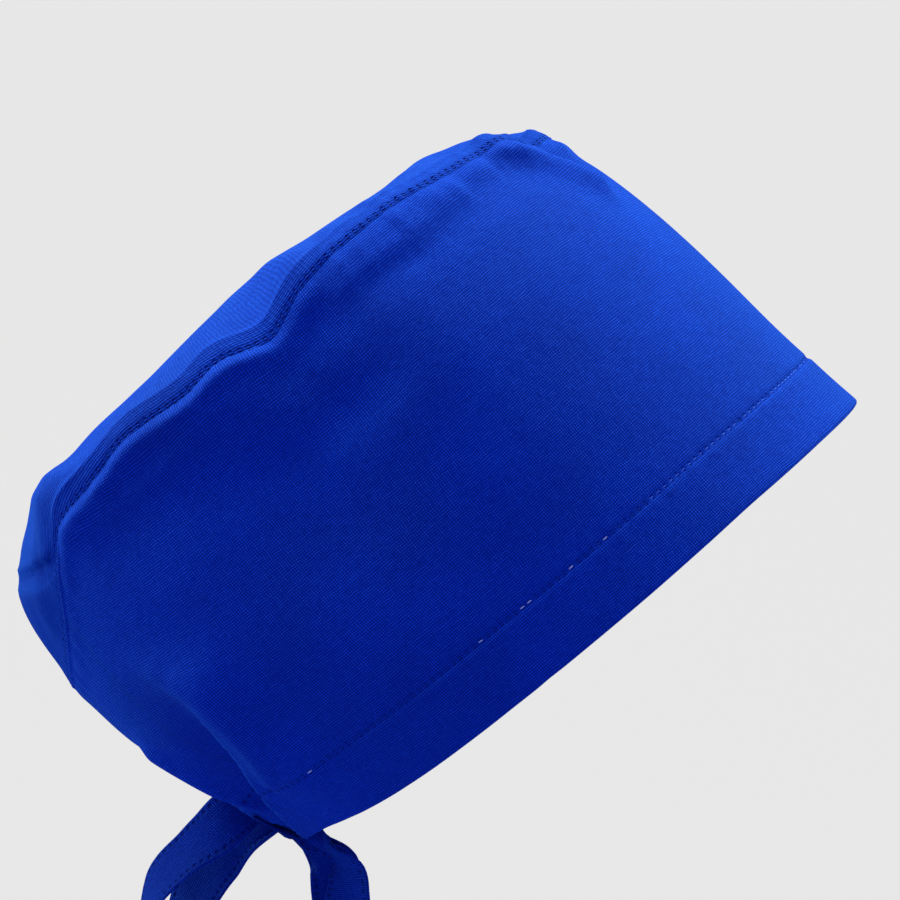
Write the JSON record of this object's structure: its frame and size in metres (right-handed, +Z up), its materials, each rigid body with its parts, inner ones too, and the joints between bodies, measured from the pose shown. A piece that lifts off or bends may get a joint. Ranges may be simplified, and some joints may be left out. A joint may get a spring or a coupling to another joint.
{
  "type": "scrub cap",
  "caption": "Tie-back surgical cap of woven cotton with a deep side band, a turned hem, a domed crown panel and a bow tied at the nape.",
  "frame": {"origin": "middle of the head opening, in the plane of the rim, where a head holds the cap", "axes": "+Z up as worn, -Y towards the forehead, -X towards the wearer's right; the rim is tilted 38 degrees with the forehead high"},
  "size_m": [0.1616, 0.2498, 0.2757],
  "materials": {
    "cap_cotton": "matte plain weave",
    "tie_cotton": "matte plain weave"
  },
  "bodies": {
    "root": {"side_band": "cap_cotton", "crown_panel": "cap_cotton", "tie_knot": "tie_cotton", "tie_loop_right": "tie_cotton", "tie_loop_left": "tie_cotton", "tie_tail_right": "tie_cotton", "tie_tail_left": "tie_cotton", "tie_lead_right": "tie_cotton", "tie_lead_left": "tie_cotton"}
  },
  "joints": []
}
